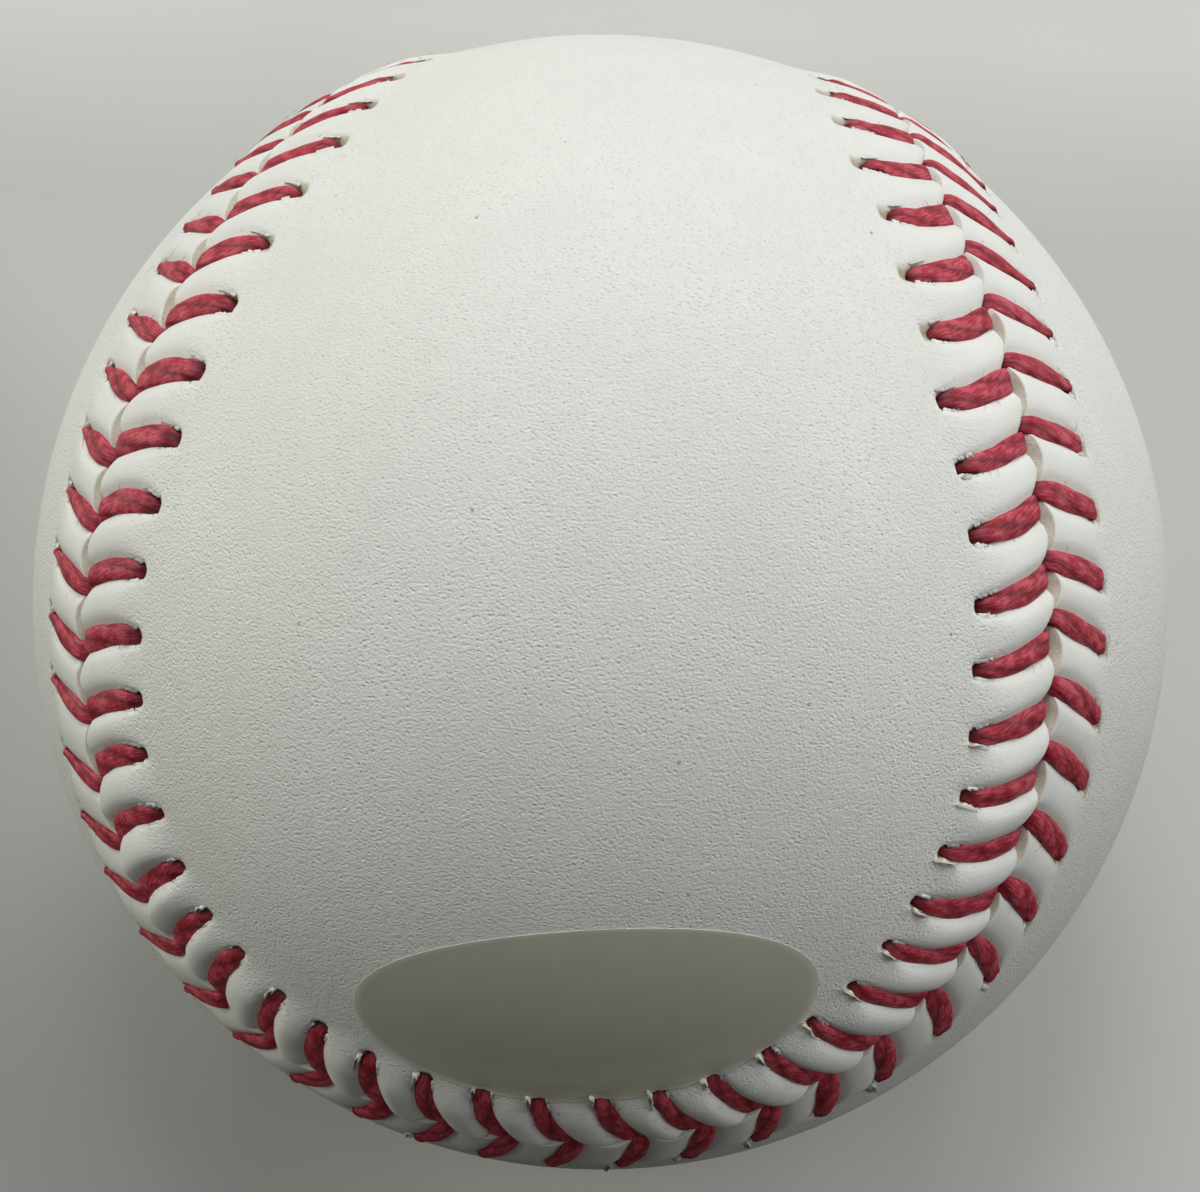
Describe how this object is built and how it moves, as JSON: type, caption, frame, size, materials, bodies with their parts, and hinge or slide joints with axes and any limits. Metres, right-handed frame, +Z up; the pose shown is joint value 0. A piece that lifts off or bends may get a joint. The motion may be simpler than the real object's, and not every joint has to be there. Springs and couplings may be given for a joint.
{
  "type": "baseball",
  "caption": "Leather baseball with a cork and rubber core, wound yarn layers, a two-piece figure-eight cover sewn with red thread, and a blank oval film label.",
  "frame": {"origin": "the ball's centre", "axes": "+Z up as the ball lies; -Y towards the viewer, the side that the front lobe of the cover leans up towards; +X to the viewer's right"},
  "size_m": [0.074, 0.0746, 0.074],
  "materials": {
    "cork": "ground composition cork",
    "black_rubber": "moulded, matt",
    "red_gasket_rubber": "die-cut, matt",
    "red_rubber": "moulded, matt",
    "grey_wool": "wound wool yarn",
    "white_wool": "wound wool yarn",
    "finishing_yarn": "fine wound cotton yarn",
    "cover_leather": "alum-tawed white leather, fine pebbled grain",
    "seam_thread": "waxed red cotton thread",
    "label_film": "clear film, satin"
  },
  "bodies": {
    "root": {"cork_nucleus": "cork", "black_shell_lower": "black_rubber", "black_shell_upper": "black_rubber", "shell_gasket": "red_gasket_rubber", "red_shell_lower": "red_rubber", "red_shell_upper": "red_rubber", "first_winding": "grey_wool", "second_winding": "white_wool", "third_winding": "grey_wool", "finishing_winding": "finishing_yarn", "cover_front": "cover_leather", "cover_back": "cover_leather", "thread_left_needle": "seam_thread", "thread_right_needle": "seam_thread", "label": "label_film"}
  },
  "joints": []
}
